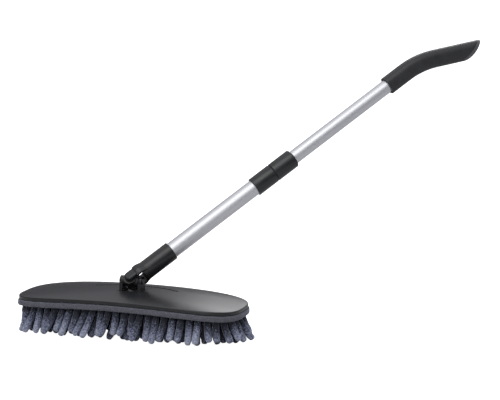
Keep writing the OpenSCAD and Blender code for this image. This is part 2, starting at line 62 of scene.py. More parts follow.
# %% [markdown]
# ## Camera, floor and light
#
# A studio catalogue picture of a long object is taken from far off with a long lens, so that
# the near end doesn't look bigger than the far end. The camera stands 2.3 m away, a little
# to the right of the head and only a little above it, which shows the top of the head as a
# thin band and the fingers under it from the side.

# %% Camera
AIM = Vector((0.1776, 0.0195, 0.2055))
AZIMUTH = 0.338
ELEVATION = 0.165
DISTANCE = 2.3
LENS_MM = 115.2

back = Vector((math.sin(AZIMUTH) * math.cos(ELEVATION),
               -math.cos(AZIMUTH) * math.cos(ELEVATION), math.sin(ELEVATION)))
camera = bpy.data.objects.new("camera", bpy.data.cameras.new("camera"))
bpy.context.scene.collection.objects.link(camera)
camera.data.lens = LENS_MM
camera.data.sensor_width = 36
camera.location = AIM + back * DISTANCE
camera.rotation_mode = "QUATERNION"
camera.rotation_quaternion = (-back).to_track_quat("-Z", "Y")
bpy.context.scene.camera = camera
print("camera at", [round(v, 3) for v in camera.location])

# %% [markdown]
# ## Helpers for colour and shader nodes
#
# Colours are written as the hex values that a paint program shows. Blender's shaders work
# with linear light, so one function turns a hex value to linear. A second one adds a shader
# node with its settings and links, so each material reads as a short list.


# %% Colour and node helpers
def linear(hex_colour):
    """The linear RGBA of an sRGB hex colour."""
    parts = [int(hex_colour[i:i + 2], 16) / 255 for i in (1, 3, 5)]
    return [p / 12.92 if p <= 0.04045 else ((p + 0.055) / 1.055) ** 2.4 for p in parts] + [1.0]


def add_node(tree, kind, settings=None, links=None):
    """Adds a node. Settings and links are by socket name or number, or by attribute name."""
    node = tree.nodes.new(kind)
    for key, value in (settings or {}).items():
        if isinstance(key, str) and hasattr(node, key):
            setattr(node, key, value)
    for key, value in (settings or {}).items():
        if not (isinstance(key, str) and hasattr(node, key)):
            node.inputs[key].default_value = value
    for key, socket in (links or {}).items():
        tree.links.new(node.inputs[key], socket)
    return node


def ramp(tree, factor, *stops):
    """A colour ramp through (position, hex colour) stops."""
    node = add_node(tree, "ShaderNodeValToRGB", links={"Fac": factor})
    elements = node.color_ramp.elements
    while len(elements) < len(stops):
        elements.new(0.5)
    for element, (position, colour) in zip(elements, stops):
        element.position = position
        element.color = linear(colour)
    return node.outputs["Color"]


# %% [markdown]
# The floor is plain and pale, and so wide that the camera sees nothing else behind the mop.
# It glows for the camera only: the paper looks white and shows no shadow, but the light that
# it throws back on the mop from below stays that of light grey paper.
# There are three soft boxes. A broad one stands high in front, a smaller one behind the head
# runs along the satin top of the plate as a blurred reflection, and a low one in front
# reaches the fingers' tips. The sky is pale overhead and dark grey at the horizon, which
# gives round metal its one dark stripe.

# %% Floor
floor_mesh = bpy.data.meshes.new("floor")
floor_bm = bmesh.new()
bmesh.ops.create_grid(floor_bm, x_segments=1, y_segments=1, size=30)
floor_bm.to_mesh(floor_mesh)
floor_bm.free()
floor = bpy.data.objects.new("floor", floor_mesh)
bpy.context.scene.collection.objects.link(floor)
floor_paper = bpy.data.materials.new("studio_paper")
floor_paper.use_nodes = True
shader = floor_paper.node_tree.nodes["Principled BSDF"]
shader.inputs["Base Color"].default_value = linear("#cfcfd1")
shader.inputs["Roughness"].default_value = 0.9
shader.inputs["Emission Color"].default_value = (1, 1, 1, 1)
seen = add_node(floor_paper.node_tree, "ShaderNodeLightPath").outputs["Is Camera Ray"]
floor_paper.node_tree.links.new(shader.inputs["Emission Strength"], seen)
floor_mesh.materials.append(floor_paper)
bpy.context.scene.view_settings.view_transform = "Standard"

# %% Sky
sky = bpy.data.worlds.new("studio_sky")
bpy.context.scene.world = sky
sky.use_nodes = True
sky_tree = sky.node_tree
direction = add_node(sky_tree, "ShaderNodeTexCoord").outputs["Generated"]
height = add_node(sky_tree, "ShaderNodeSeparateXYZ", links={0: direction}).outputs["Z"]
sky_colour = ramp(sky_tree, height, (0.0, "#404044"), (0.16, "#4c4c50"), (0.4, "#b4b4ba"), (0.75, "#fafafc"))
sky_tree.links.new(sky_tree.nodes["Background"].inputs["Color"], sky_colour)
sky_tree.nodes["Background"].inputs["Strength"].default_value = 0.9


# %% Soft boxes
def soft_box(name, place, target, size, watts):
    """A rectangular area light at a place, facing a target."""
    light = bpy.data.lights.new(name, "AREA")
    light.shape = "RECTANGLE"
    light.size, light.size_y = size
    light.energy = watts
    lamp = bpy.data.objects.new(name, light)
    bpy.context.scene.collection.objects.link(lamp)
    lamp.location = place
    lamp.rotation_mode = "QUATERNION"
    lamp.rotation_quaternion = (Vector(target) - Vector(place)).to_track_quat("-Z", "Y")


soft_box("high_box", (0.2, -1.4, 2.1), (0.1, 0, 0.2), (1.8, 1.7), 22)
soft_box("rear_box", (-0.3, 2.9, 1.5), (0.1, 0, 0.1), (1.1, 0.6), 9.5)
soft_box("front_box", (0.4, -2.8, 0.6), (0.1, 0, 0.1), (1.2, 0.8), 10)


# %% [markdown]
# ## Finishes of the hard pieces
#
# Almost every dark piece of the mop is moulded plastic, but not the same plastic. A mould is
# either polished, which gives a blurred shine, or spark-eroded, which leaves a fine grain of
# about a third of a millimetre. One function makes all of them from a grain size, a
# roughness and two near colours, because plastic is never one even colour.


# %% Moulded plastic
CLOUD_MM = 18


def moulded(name, dark, light, rough, grain_mm, relief_mm, spread=0.02, side=None):
    """Moulded plastic: a faint cloudiness in its colour, and the grain that the mould leaves.

    side names the attribute that marks steep faces, and gives the colour of the shade painted on them.
    """
    material = bpy.data.materials.new(name)
    material.use_nodes = True
    tree = material.node_tree
    shader = tree.nodes["Principled BSDF"]
    place = add_node(tree, "ShaderNodeTexCoord").outputs["Object"]
    cloud = add_node(tree, "ShaderNodeTexNoise", {"Scale": 1 / (CLOUD_MM * MM), "Detail": 3.0},
                     {"Vector": place}).outputs["Fac"]
    stops = [(0.3, dark), (0.7, light)]
    # Steep faces take painted shade: their colour is pulled down the ramp to the blacker stop.
    if side:
        steep = add_node(tree, "ShaderNodeAttribute", {"attribute_name": side[0]}).outputs["Fac"]
        cloud = add_node(tree, "ShaderNodeMath", {"operation": "MULTIPLY_ADD", 1: -0.5},
                         {0: steep, 2: cloud}).outputs["Value"]
        stops.insert(0, (0.1, side[1]))
    tree.links.new(shader.inputs["Base Color"], ramp(tree, cloud, *stops))
    worn = add_node(tree, "ShaderNodeMapRange",
                    {"From Min": 0.3, "From Max": 0.7, "To Min": rough - spread,
                     "To Max": rough + spread}, {"Value": cloud}).outputs["Result"]
    tree.links.new(shader.inputs["Roughness"], worn)
    grain = add_node(tree, "ShaderNodeTexNoise", {"Scale": 1 / (grain_mm * MM), "Detail": 2.0},
                     {"Vector": place}).outputs["Fac"]
    bump = add_node(tree, "ShaderNodeBump", {"Strength": 0.6, "Distance": relief_mm * MM},
                    {"Height": grain}).outputs["Normal"]
    tree.links.new(shader.inputs["Normal"], bump)
    shader.inputs["IOR"].default_value = 1.5
    return material


# Polypropylene from a polished mould: dark, with a wide blurred sheen. The plate's steep sides
# and the walls of its cuts are painted a blacker colour than its top, as shade
satin_polypropylene = moulded("satin_polypropylene", "#222326", "#27282b", 0.32, 0.5, 0.004, 0.01,
                              ("steep", "#121315"))
# Glass-filled nylon from a spark-eroded mould: dry and grainy, with a dull highlight
grained_nylon = moulded("grained_nylon", "#151617", "#1c1d1f", 0.36, 0.45, 0.012)
# Hard ABS of the lock, a shade greyer and a little smoother than the nylon
lock_abs = moulded("lock_abs", "#17191a", "#1e2022", 0.34, 0.4, 0.01)
# Soft-touch elastomer: an even velvet grey with almost no highlight
soft_touch_rubber = moulded("soft_touch_rubber", "#1f2023", "#292a2d", 0.52, 0.35, 0.02)
# The grip's end cap is the same rubber, moulded in a lighter grey
cap_rubber = moulded("cap_rubber", "#47484c", "#515256", 0.5, 0.35, 0.02)
# Recycled ABS board, plain and dull because nobody sees it in use
board_abs = moulded("board_abs", "#1a1b1d", "#232427", 0.55, 0.6, 0.02)
# Acetal slides on metal, so it stays unpainted and milky, and waxy to the eye
acetal_natural = moulded("acetal_natural", "#cfcabc", "#ddd8ca", 0.42, 0.8, 0.004)
# Nitrile rubber ring: black and matt
nitrile_rubber = moulded("nitrile_rubber", "#0d0d0e", "#141416", 0.62, 0.5, 0.01)
# Nylon hook tape: black, and rough from its hooks, about one each millimetre
hook_tape = moulded("hook_tape", "#0e0e10", "#1a1a1d", 0.7, 1.0, 0.4)
print("materials in the file so far:", len(bpy.data.materials))

# %% [markdown]
# The pole is drawn aluminium tube, anodised in its natural silver. Drawing leaves very fine
# lines along the tube, which blur a reflection across it and keep it sharp along it. The
# lines are a noise pattern that is stretched along the pole's own axis, so the pattern's
# space is first turned until its Z axis lies on the pole.

# %% The pole's axis, from the joints
joints = {j["name"]: j for j in frame["joints"]}
pole_axis = Vector(joints["telescope"]["axis"]).normalized()
pivot = Vector(joints["tilt"]["pos_m"])
to_pole_space = pole_axis.to_track_quat("Z", "Y").inverted().to_euler()
print("pole axis", [round(v, 3) for v in pole_axis])


# %% Metals
def metal(name, colour, light, rough, line_mm, stretch, relief_mm, turn=(0, 0, 0)):
    """Metal with lines of a width in mm that run along the turned Z axis, stretch times longer."""
    material = bpy.data.materials.new(name)
    material.use_nodes = True
    tree = material.node_tree
    shader = tree.nodes["Principled BSDF"]
    shader.inputs["Metallic"].default_value = 1.0
    place = add_node(tree, "ShaderNodeTexCoord").outputs["Object"]
    turned = add_node(tree, "ShaderNodeMapping", {"Rotation": turn}, {"Vector": place}).outputs["Vector"]
    squeezed = add_node(tree, "ShaderNodeMapping", {"Scale": (1, 1, 1 / stretch)},
                        {"Vector": turned}).outputs["Vector"]
    lines = add_node(tree, "ShaderNodeTexNoise", {"Scale": 1 / (line_mm * MM), "Detail": 2.0},
                     {"Vector": squeezed}).outputs["Fac"]
    tree.links.new(shader.inputs["Base Color"], ramp(tree, lines, (0.3, colour), (0.7, light)))
    worn = add_node(tree, "ShaderNodeMapRange",
                    {"From Min": 0.3, "From Max": 0.7, "To Min": rough - 0.02, "To Max": rough + 0.02},
                    {"Value": lines}).outputs["Result"]
    tree.links.new(shader.inputs["Roughness"], worn)
    bump = add_node(tree, "ShaderNodeBump", {"Strength": 0.2, "Distance": relief_mm * MM},
                    {"Height": lines}).outputs["Normal"]
    tree.links.new(shader.inputs["Normal"], bump)
    return material


# Anodised tube: pale, with a clear stripe of light and one of shade
anodised_aluminium = metal("anodised_aluminium", "#cbccd0", "#d4d5d8", 0.5, 0.3, 200, 0.001, to_pole_space)
# Zinc-plated steel: brighter, with faint turning marks
zinc_steel = metal("zinc_steel", "#b4b6ba", "#cccdd0", 0.28, 0.5, 1, 0.004)
# Blackened steel of the tilt pin: its oxide skin leaves only a dim grey shine
blackened_steel = metal("blackened_steel", "#38393c", "#46474b", 0.42, 0.5, 1, 0.003)

# %% [markdown]
# ## Cloth finishes
#
# The fingers are chenille: short microfibre loops that stand out round a core, which makes a
# soft surface that is dark where it turns down between the loops and pale where their tips
# catch the light. The same fibre gives the bound edge its brushed look.


# %% Microfibre cloth
PATCH_MM = 2.2


def cloth(name, deep, mid, pale, loop_mm, relief_mm, tone_and_shade=None, root=None):
    """Brushed microfibre. The last two name attributes: each finger's tone and painted shade, and painted
    shade at the root and light at the tip.
    """
    material = bpy.data.materials.new(name)
    material.use_nodes = True
    tree = material.node_tree
    shader = tree.nodes["Principled BSDF"]
    place = add_node(tree, "ShaderNodeTexCoord").outputs["Object"]
    loops = add_node(tree, "ShaderNodeTexVoronoi", {"Scale": 1 / (loop_mm * MM), "Randomness": 1.0},
                     {"Vector": place}).outputs["Distance"]
    patches = add_node(tree, "ShaderNodeTexNoise", {"Scale": 1 / (PATCH_MM * MM), "Detail": 1.0},
                       {"Vector": place}).outputs["Fac"]
    blend = add_node(tree, "ShaderNodeMath", {"operation": "MULTIPLY_ADD", 1: -0.35},
                     {0: loops, 2: patches}).outputs["Value"]
    # The shift holds each finger's random tone, and painted shade for the rows behind the outer one.
    if tone_and_shade:
        shift = add_node(tree, "ShaderNodeAttribute", {"attribute_name": tone_and_shade}).outputs["Fac"]
        blend = add_node(tree, "ShaderNodeMath", {"operation": "MULTIPLY_ADD", 1: 0.35},
                         {0: shift, 2: blend}).outputs["Value"]
    # The run from root to tip paints shade at the root and light at the tip.
    if root:
        reach = add_node(tree, "ShaderNodeAttribute", {"attribute_name": root}).outputs["Fac"]
        blend = add_node(tree, "ShaderNodeMath", {"operation": "MULTIPLY_ADD", 1: 0.75},
                         {0: reach, 2: blend}).outputs["Value"]
    colour = ramp(tree, blend, (0.2, deep), (0.5, mid), (0.85, pale))
    tree.links.new(shader.inputs["Base Color"], colour)
    bump = add_node(tree, "ShaderNodeBump", {"Strength": 0.8, "Distance": relief_mm * MM},
                    {"Height": add_node(tree, "ShaderNodeMath", {"operation": "MULTIPLY", 1: -1.0},
                                        {0: loops}).outputs["Value"]}).outputs["Normal"]
    tree.links.new(shader.inputs["Normal"], bump)
    shader.inputs["Roughness"].default_value = 0.95
    shader.inputs["Sheen Weight"].default_value = 1.0
    shader.inputs["Sheen Roughness"].default_value = 0.3
    shader.inputs["Sheen Tint"].default_value = linear("#c0c6de")
    return material


# Chenille of the fingers: slate blue. Its near-black is painted shade at the roots and between
# the fingers, and its pale tint is partly painted light at the tips
chenille_fibre = cloth("chenille_fibre", "#1b1e28", "#62677c", "#a0a5b8", 1.3, 0.5, "tone_and_shade", "reach")
# Binding tape: greyer than the fingers and more even, since its three colours lie close together
binding_tape = cloth("binding_tape", "#4c4d54", "#5e5f67", "#6f7079", 0.8, 0.15)
# Loop cloth on the pad's back: dark, with small loops that the hook tape holds
loop_cloth = cloth("loop_cloth", "#1e1f27", "#2b2d37", "#3a3c48", 1.0, 0.2)
print("cloths:", chenille_fibre.name, binding_tape.name, loop_cloth.name)

# %% [markdown]
# ## Finishes of the CAD pieces
#
# A CAD piece keeps its mesh. Only the material in its slots changes. The hidden pieces get
# their real finish too, because the pole comes apart and the pad comes off.

# %% Give each CAD piece its material
CAD_FINISHES = {
    satin_polypropylene: ["head_plate"],
    board_abs: ["under_board"],
    hook_tape: ["hook_strips"],
    zinc_steel: ["board_screws", "foot_screws", "swing_dowels", "socket_screw", "grip_screws"],
    blackened_steel: ["tilt_pin", "pin_cap"],
    grained_nylon: ["swivel_base", "swivel_knuckle", "fork_socket", "grip_core"],
    lock_abs: ["collar_body", "lock_nut"],
    nitrile_rubber: ["collar_ring"],
    acetal_natural: ["clamp_collet", "slide_plug", "stop_ring"],
    anodised_aluminium: ["outer_tube", "inner_tube"],
    soft_touch_rubber: ["grip_shell"],
    cap_rubber: ["grip_end_cap"],
    binding_tape: ["pad_hem"],
    loop_cloth: ["pad_base"],
    chenille_fibre: ["chenille_pile"],
}
for finish_material, names in CAD_FINISHES.items():
    for node_name in names:
        for material_slot in frame["nodes"][node_name].material_slots:
            material_slot.material = finish_material
print("CAD pieces with a finish:", sum(len(n) for n in CAD_FINISHES.values()))

# %% [markdown]
# A mould can't have a knife edge, and a small rounded edge is what catches the light on a
# dark piece. The moulded pieces of the swivel and the lock get one from two modifiers: Weld
# joins the CAD faces along their seams, and Bevel rounds the edges that are sharper than 30
# degrees.

# %% Round the moulded edges
ROUNDED = {"fork_socket": 0.9, "swivel_base": 0.6, "swivel_knuckle": 0.5, "collar_body": 0.35,
           "lock_nut": 0.5}
for node_name, radius_mm in ROUNDED.items():
    piece = frame["nodes"][node_name]
    weld = piece.modifiers.new("weld", "WELD")
    weld.merge_threshold = 0.002 * MM
    bevel = piece.modifiers.new("rounded", "BEVEL")
    bevel.width = radius_mm * MM
    bevel.segments = 3
    bevel.limit_method = "ANGLE"
    bevel.angle_limit = math.radians(30)
    bevel.use_clamp_overlap = True
    bevel.harden_normals = True
print("rounded pieces:", len(ROUNDED))


# %% [markdown]
# ## A helper that grows a shape ring by ring
#
# The plate, the bound edge, the fingers and the grip are all smooth shapes with a changing
# outline. Each one starts as a circle of points that is moved on to the first outline. Its
# edges are extruded, and the new ring is moved on to the next outline, and so on. The ends
# are closed by merging the last ring to a point, or joined to the first ring for a hoop.


# %% Grow rings
def next_ring(bm, ring, places):
    """Extrudes the ring's edges and moves the new ring to its places."""
    edges = [bm.edges.get((a, b)) for a, b in zip(ring, ring[1:] + ring[:1])]
    made = bmesh.ops.extrude_edge_only(bm, edges=edges)["geom"]
    fresh = {v for v in made if isinstance(v, bmesh.types.BMVert)}
    after = [next(e.other_vert(v) for e in v.link_edges if e.other_vert(v) in fresh) for v in ring]
    for vert, place in zip(after, places):
        vert.co = place
    return after


def grow(bm, rings, hoop=False):
    """A closed body through the rings: a hoop, or one whose two ends are merged to points."""
    first = bmesh.ops.create_circle(bm, segments=len(rings[0]), radius=1)["verts"]
    for vert, place in zip(first, rings[0]):
        vert.co = place
    grown = [first]
    for places in rings[1:]:
        grown.append(next_ring(bm, grown[-1], places))
    if hoop:
        ends = [bm.edges.get((a, b)) for ring in (grown[0], grown[-1])
                for a, b in zip(ring, ring[1:] + ring[:1])]
        bmesh.ops.bridge_loops(bm, edges=ends)
    else:
        for ring in (grown[0], grown[-1]):
            middle = sum((v.co for v in ring), Vector()) / len(ring)
            bmesh.ops.pointmerge(bm, verts=ring, merge_co=middle)
    return grown


def finish_mesh(bm, name, material, sharp_degrees=35):
    """Turns the faces outwards, scales mm to metres, and makes the object."""
    bmesh.ops.recalc_face_normals(bm, faces=bm.faces[:])
    bmesh.ops.scale(bm, vec=(MM, MM, MM), verts=bm.verts[:])
    mesh = bpy.data.meshes.new(name)
    bm.to_mesh(mesh)
    bm.free()
    mesh.materials.append(material)
    mesh.shade_smooth()
    mesh.set_sharp_from_angle(angle=math.radians(sharp_degrees))
    piece = bpy.data.objects.new(name, mesh)
    bpy.context.scene.collection.objects.link(piece)
    return piece


# %% [markdown]
# Some edges come from cutting one body with another: the groove, the swivel's seat and the
# screw recesses. A cutter is a small closed mesh of its own. The Boolean modifier takes it
# away from the piece, or adds it, and the result is applied before the cutter is removed.


# %% Cut and add with a Boolean
def combine(piece, tool_bm, operation="DIFFERENCE", sharp_degrees=35):
    """Applies a Boolean of a bmesh in mm on the piece."""
    bmesh.ops.recalc_face_normals(tool_bm, faces=tool_bm.faces[:])
    bmesh.ops.scale(tool_bm, vec=(MM, MM, MM), verts=tool_bm.verts[:])
    tool_mesh = bpy.data.meshes.new("tool")
    tool_bm.to_mesh(tool_mesh)
    tool_bm.free()
    tool = bpy.data.objects.new("tool", tool_mesh)
    bpy.context.scene.collection.objects.link(tool)
    modifier = piece.modifiers.new("cut", "BOOLEAN")
    modifier.operation = operation
    modifier.solver = "EXACT"
    modifier.object = tool
    depsgraph = bpy.context.evaluated_depsgraph_get()
    cut = bpy.data.meshes.new_from_object(piece.evaluated_get(depsgraph))
    piece.modifiers.clear()
    material = piece.data.materials[0]
    piece.data = cut
    cut.name = piece.name
    cut.materials.clear()
    cut.materials.append(material)
    cut.shade_smooth()
    cut.set_sharp_from_angle(angle=math.radians(sharp_degrees))
    bpy.data.objects.remove(tool)
    bpy.data.meshes.remove(tool_mesh)


# %% [markdown]
# ## The head's outline
#
# Seen from above the head is a super-ellipse: fuller than an ellipse, with no straight side
# and no corner. Its two powers set how full it is along and across. The whole head is arched
# too, so its ends are lower than its middle. The sizes come from the CAD boxes, and the
# outline's points are spread evenly along it, so that no face is much longer than the rest.

# %% Sizes of the head
END_POWER = 4.56
SIDE_POWER = 3.07
CROWN_POWER = 2.2
CROWN_RISE = 5
OUTLINE_POINTS = 160

plate_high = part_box("head_plate")[1] / MM
hem_low, hem_high = (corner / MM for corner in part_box("pad_hem"))
half_l, half_w = plate_high.x, plate_high.y
hem_out = hem_high.x - half_l
rim_z = hem_high.z
pile_z = (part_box("chenille_pile")[1] / MM).z
edge_z = plate_high.z - CROWN_RISE
hem_drop = pile_z - hem_low.z
arch_r = (hem_high.x ** 2 + hem_drop ** 2) / (2 * hem_drop)
print("arch radius, mm:", round(arch_r), " rim at", round(rim_z, 1), " edge at", round(edge_z, 1))


# %% Outline and arch
def arch(x):
    """How far the arched head is below its middle at a distance x along it."""
    return arch_r - math.sqrt(arch_r * arch_r - x * x)


def on_outline(angle, margin=0.0, share=1.0):
    """A point (x, y) on the outline, grown by a margin and scaled by a share."""
    c, s = math.cos(angle), math.sin(angle)
    return (share * (half_l + margin) * math.copysign(abs(c) ** (2 / END_POWER), c),
            share * (half_w + margin) * math.copysign(abs(s) ** (2 / SIDE_POWER), s))


def even_angles(count, margin=0.0):
    """Angles whose outline points are the same distance apart."""
    fine = [2 * math.pi * k / 20000 for k in range(20001)]
    points = np.array([on_outline(a, margin) for a in fine])
    run = np.concatenate([[0], np.cumsum(np.linalg.norm(np.diff(points, axis=0), axis=1))])
    wanted = np.linspace(0, run[-1], count, endpoint=False)
    return [float(a) for a in np.interp(wanted, run, fine)], float(run[-1])


plate_angles, plate_girth = even_angles(OUTLINE_POINTS)
print("girth of the plate, mm:", round(plate_girth))


def arched_ring(margin, share, height):
    """One ring of the head at a height over its arched middle surface."""
    ring = [on_outline(a, margin, share) for a in plate_angles]
    return [Vector((x, y, height - arch(x))) for x, y in ring]


# %% [markdown]
# ## The head plate
#
# The plate is a moulded shell: an arched rim 5.5 mm high, a quarter-round edge, and a top
# that swells 5 mm from the edge to the middle. It could be a subdivided box, but the even
# outline matters more than anything else here, so it is grown ring by ring, from the middle
# of its underside, down the inner wall, round the rim and up over the top.

# %% Plate shell
PLATE_WALL = 3
EDGE_R = 1.2
RIM_CHAMFER = 0.4
ROUND_STEPS = 6
CROWN_STEPS = 16


def top_rings(margin, height):
    """Rings of a crowned top, from the edge's rounding to near the middle."""
    turns = [math.pi / 2 * k / ROUND_STEPS for k in range(ROUND_STEPS + 1)]
    rings = [arched_ring(margin - EDGE_R * (1 - math.cos(a)), 1, height - EDGE_R * (1 - math.sin(a)))
             for a in turns]
    shares = [1 - k / CROWN_STEPS for k in range(1, CROWN_STEPS)]
    rings += [arched_ring(margin - EDGE_R, s, height + CROWN_RISE * (1 - s ** CROWN_POWER))
              for s in shares]
    return rings


plate_bm = bmesh.new()
inner = top_rings(-PLATE_WALL, edge_z - PLATE_WALL)
outer = top_rings(0, edge_z)
rim_inner = arched_ring(-PLATE_WALL, 1, rim_z)
rim_outer = [arched_ring(-RIM_CHAMFER, 1, rim_z), arched_ring(0, 1, rim_z + RIM_CHAMFER)]
grow(plate_bm, inner[::-1] + [rim_inner] + rim_outer + outer)
plate = finish_mesh(plate_bm, "head_plate_shell", satin_polypropylene)
print("plate faces:", len(plate.data.polygons))

# %% [markdown]
# The swivel's foot sits in a shallow seat with rounded corners, on a solid block inside the
# shell, and a trough under the tilt pin lets the fork swing. Behind the swivel runs a thin
# curved groove. They are cut from the shell with the same sizes as the CAD model. Last, every
# vertex on a steep face is marked, so that the finish can paint shade there: the plate's sides
# and the walls of the cuts get a darker colour than the top.

# %% Seat, trough and groove
SEAT_GAP = 0.4
SEAT_CORNER = 4
BLOCK_WALL = 2
BLOCK_LIFT = 0.2
BOSS_R = 4
BOSS_LIFT = 0.4
BOSS_TOP = 3.3
CUT_PAST = 20
END_SHARE = 0.0248
STEEP = 0.6
WELL_R = 18.8
WELL_L = 22.4
GROOVE_R = 157
GROOVE_Y = 31
GROOVE_W = 3.4
GROOVE_DEPTH = 1.6
GROOVE_HALF_ANGLE = math.radians(25)

base_low, base_high = (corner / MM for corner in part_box("swivel_base"))
foot_half = Vector((base_high.x, base_high.y))


def rounded_block(half_x, half_y, low, high, corner):
    """A block with rounded upright edges."""
    bm = bmesh.new()
    bmesh.ops.create_cube(bm, size=1)
    bmesh.ops.scale(bm, vec=(2 * half_x, 2 * half_y, high - low), verts=bm.verts[:])
    bmesh.ops.translate(bm, vec=(0, 0, (low + high) / 2), verts=bm.verts[:])
    upright = [e for e in bm.edges if abs(e.verts[0].co.z - e.verts[1].co.z) > 1e-6]
    bmesh.ops.bevel(bm, geom=upright, offset=corner, segments=6, affect="EDGES", profile=0.5, material=-1)
    return bm


def pins(places, radius, low, high):
    """Upright cylinders at (x, y, lift) places, between two heights that follow the lift."""
    bm = bmesh.new()
    for x, y, lift in places:
        made = bmesh.ops.create_cone(bm, cap_ends=True, segments=32, radius1=radius, radius2=radius,
                                     depth=high - low)["verts"]
        bmesh.ops.translate(bm, vec=(x, y, (low + high) / 2 + lift), verts=made)
    return bm


board_z = (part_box("under_board")[1] / MM).z
foot_z = base_low.z
block = rounded_block(foot_half.x + BLOCK_WALL, foot_half.y + BLOCK_WALL, board_z + BLOCK_LIFT,
                      foot_z + 1, SEAT_CORNER)
combine(plate, block, "UNION")
boss_places = [(sx * share * half_l, sy * half_w / 2, -arch(share * half_l))
               for sx in (-1, 1) for share in (0.36, 0.72) for sy in (-1, 1)]
combine(plate, pins(boss_places, BOSS_R, board_z + BOSS_LIFT, board_z + BOSS_TOP), "UNION")
seat = rounded_block(foot_half.x + SEAT_GAP, foot_half.y + SEAT_GAP, foot_z, foot_z + CUT_PAST, SEAT_CORNER)
combine(plate, seat)

well_bm = bmesh.new()
bmesh.ops.create_cone(well_bm, cap_ends=True, segments=96, radius1=WELL_R, radius2=WELL_R, depth=WELL_L)
bmesh.ops.rotate(well_bm, matrix=Matrix.Rotation(math.pi / 2, 3, "Y"), verts=well_bm.verts[:])
bmesh.ops.translate(well_bm, vec=pivot / MM, verts=well_bm.verts[:])
combine(plate, well_bm)


def groove_ring(share):
    """The groove's section at a share of its half angle, narrowing to a round end."""
    turn = GROOVE_HALF_ANGLE * share
    end_run = GROOVE_R * GROOVE_HALF_ANGLE * (1 - abs(share)) / (GROOVE_W / 2)
    half = GROOVE_W / 2 * (1 if end_run >= 1 else math.sqrt(max(0.02, 1 - (1 - end_run) ** 2)))
    floor_z = plate_high.z - GROOVE_DEPTH - arch(GROOVE_R * math.sin(GROOVE_HALF_ANGLE))
    corners = [(-half, floor_z), (half, floor_z), (half, floor_z + CUT_PAST), (-half, floor_z + CUT_PAST)]
    return [Vector(((GROOVE_R + r) * math.sin(turn),
                    GROOVE_Y - GROOVE_R + (GROOVE_R + r) * math.cos(turn), z))
            for r, z in corners]


groove_bm = bmesh.new()
steps = [k / 40 for k in range(-39, 40)]
round_end = [1 - END_SHARE * (1 - math.sin(math.pi / 2 * k / 6)) for k in range(7)]
grow(groove_bm, [groove_ring(s) for s in [-e for e in round_end[::-1]] + steps + round_end])
combine(plate, groove_bm)
# Steep faces are marked for painted shade: the finish gives them a darker colour than the top.
painted_shade_mark = plate.data.attributes.new("steep", "FLOAT", "POINT")
painted_shade_mark.data.foreach_set("value", [float(abs(v.normal.z) < STEEP) for v in plate.data.vertices])
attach(plate, "head")
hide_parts("head_plate")
print("plate after the cuts, faces:", len(plate.data.polygons))

# %% [markdown]
# ## The pad: bound edge, stitches and base
#
# The pad is a sheet of foam in loop cloth. A folded tape binds its edge and stands a little
# past the rim. A hoop of rounded section does for the tape. Its surface is pushed in and out
# by a third of a millimetre, because cloth that is sewn by machine never runs quite even.

# %% Bound edge
HEM_T = 4
HEM_SINK = 0.9
HEM_SECTION_POINTS = 20
HEM_FULLNESS = (0.6, 0.55)

hem_middle = hem_out - HEM_T / 2
hem_mid_z = (rim_z - HEM_SINK + pile_z) / 2
hem_half_h = (rim_z - HEM_SINK - pile_z) / 2


def hem_ring(turn):
    """One loop of the bound edge at an angle round its section."""
    c, s = math.cos(turn), math.sin(turn)
    return arched_ring(hem_middle + HEM_T / 2 * math.copysign(abs(c) ** HEM_FULLNESS[0], c), 1,
                       hem_mid_z + hem_half_h * math.copysign(abs(s) ** HEM_FULLNESS[1], s))


def uneven(bm, amount, grain, axes=(1, 1, 0.6)):
    """Pushes every vertex by smooth noise of an amount and a grain in mm.
    """
    for vert in bm.verts:
        push = noise.noise_vector(vert.co / grain)
        vert.co += Vector(a * b for a, b in zip(push, axes)) * amount


hem_bm = bmesh.new()
grow(hem_bm, [hem_ring(2 * math.pi * k / HEM_SECTION_POINTS) for k in range(HEM_SECTION_POINTS)], hoop=True)
uneven(hem_bm, 0.5, 14)
uneven(hem_bm, 0.25, 3.5)
hem = finish_mesh(hem_bm, "pad_binding", binding_tape)
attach(hem, "head")
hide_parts("pad_hem")
print("binding faces:", len(hem.data.polygons))

# %% [markdown]
# A row of lock stitches holds the tape, 3.2 mm apart. There are more than two hundred and
# fifty, so each is a small bead of six sides that lies along the edge and sinks half into the
# cloth.

# %% Stitches
STITCH_STEP = 3.2
STITCH_HALF = 1.1
STITCH_R = 0.28
STITCH_DROP = 6.3


def bead(bm, middle, along, side, half, radius):
    """A six-sided bead with tapered ends."""
    up = along.cross(side).normalized()
    rings = []
    for t, r in ((-1, 0.4), (-0.5, 1), (0.5, 1), (1, 0.4)):
        turns = [2 * math.pi * k / 6 for k in range(6)]
        rings.append([middle + along * half * t + (side * math.cos(a) + up * math.sin(a)) * radius * r
                      for a in turns])
    grow(bm, rings)


stitch_angles = even_angles(round(plate_girth / STITCH_STEP), hem_out)[0]
stitch_bm = bmesh.new()
for angle in stitch_angles:
    here, there = on_outline(angle, hem_out), on_outline(angle + 0.002, hem_out)
    along = Vector((there[0] - here[0], there[1] - here[1], arch(here[0]) - arch(there[0]))).normalized()
    outward = along.cross(Vector((0, 0, 1))).normalized()
    bead(stitch_bm, Vector((here[0], here[1], rim_z - STITCH_DROP - arch(here[0]))), along, outward,
         STITCH_HALF, STITCH_R)
stitches = finish_mesh(stitch_bm, "binding_stitches", binding_tape)
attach(stitches, "head")
print("stitches:", len(stitch_angles))
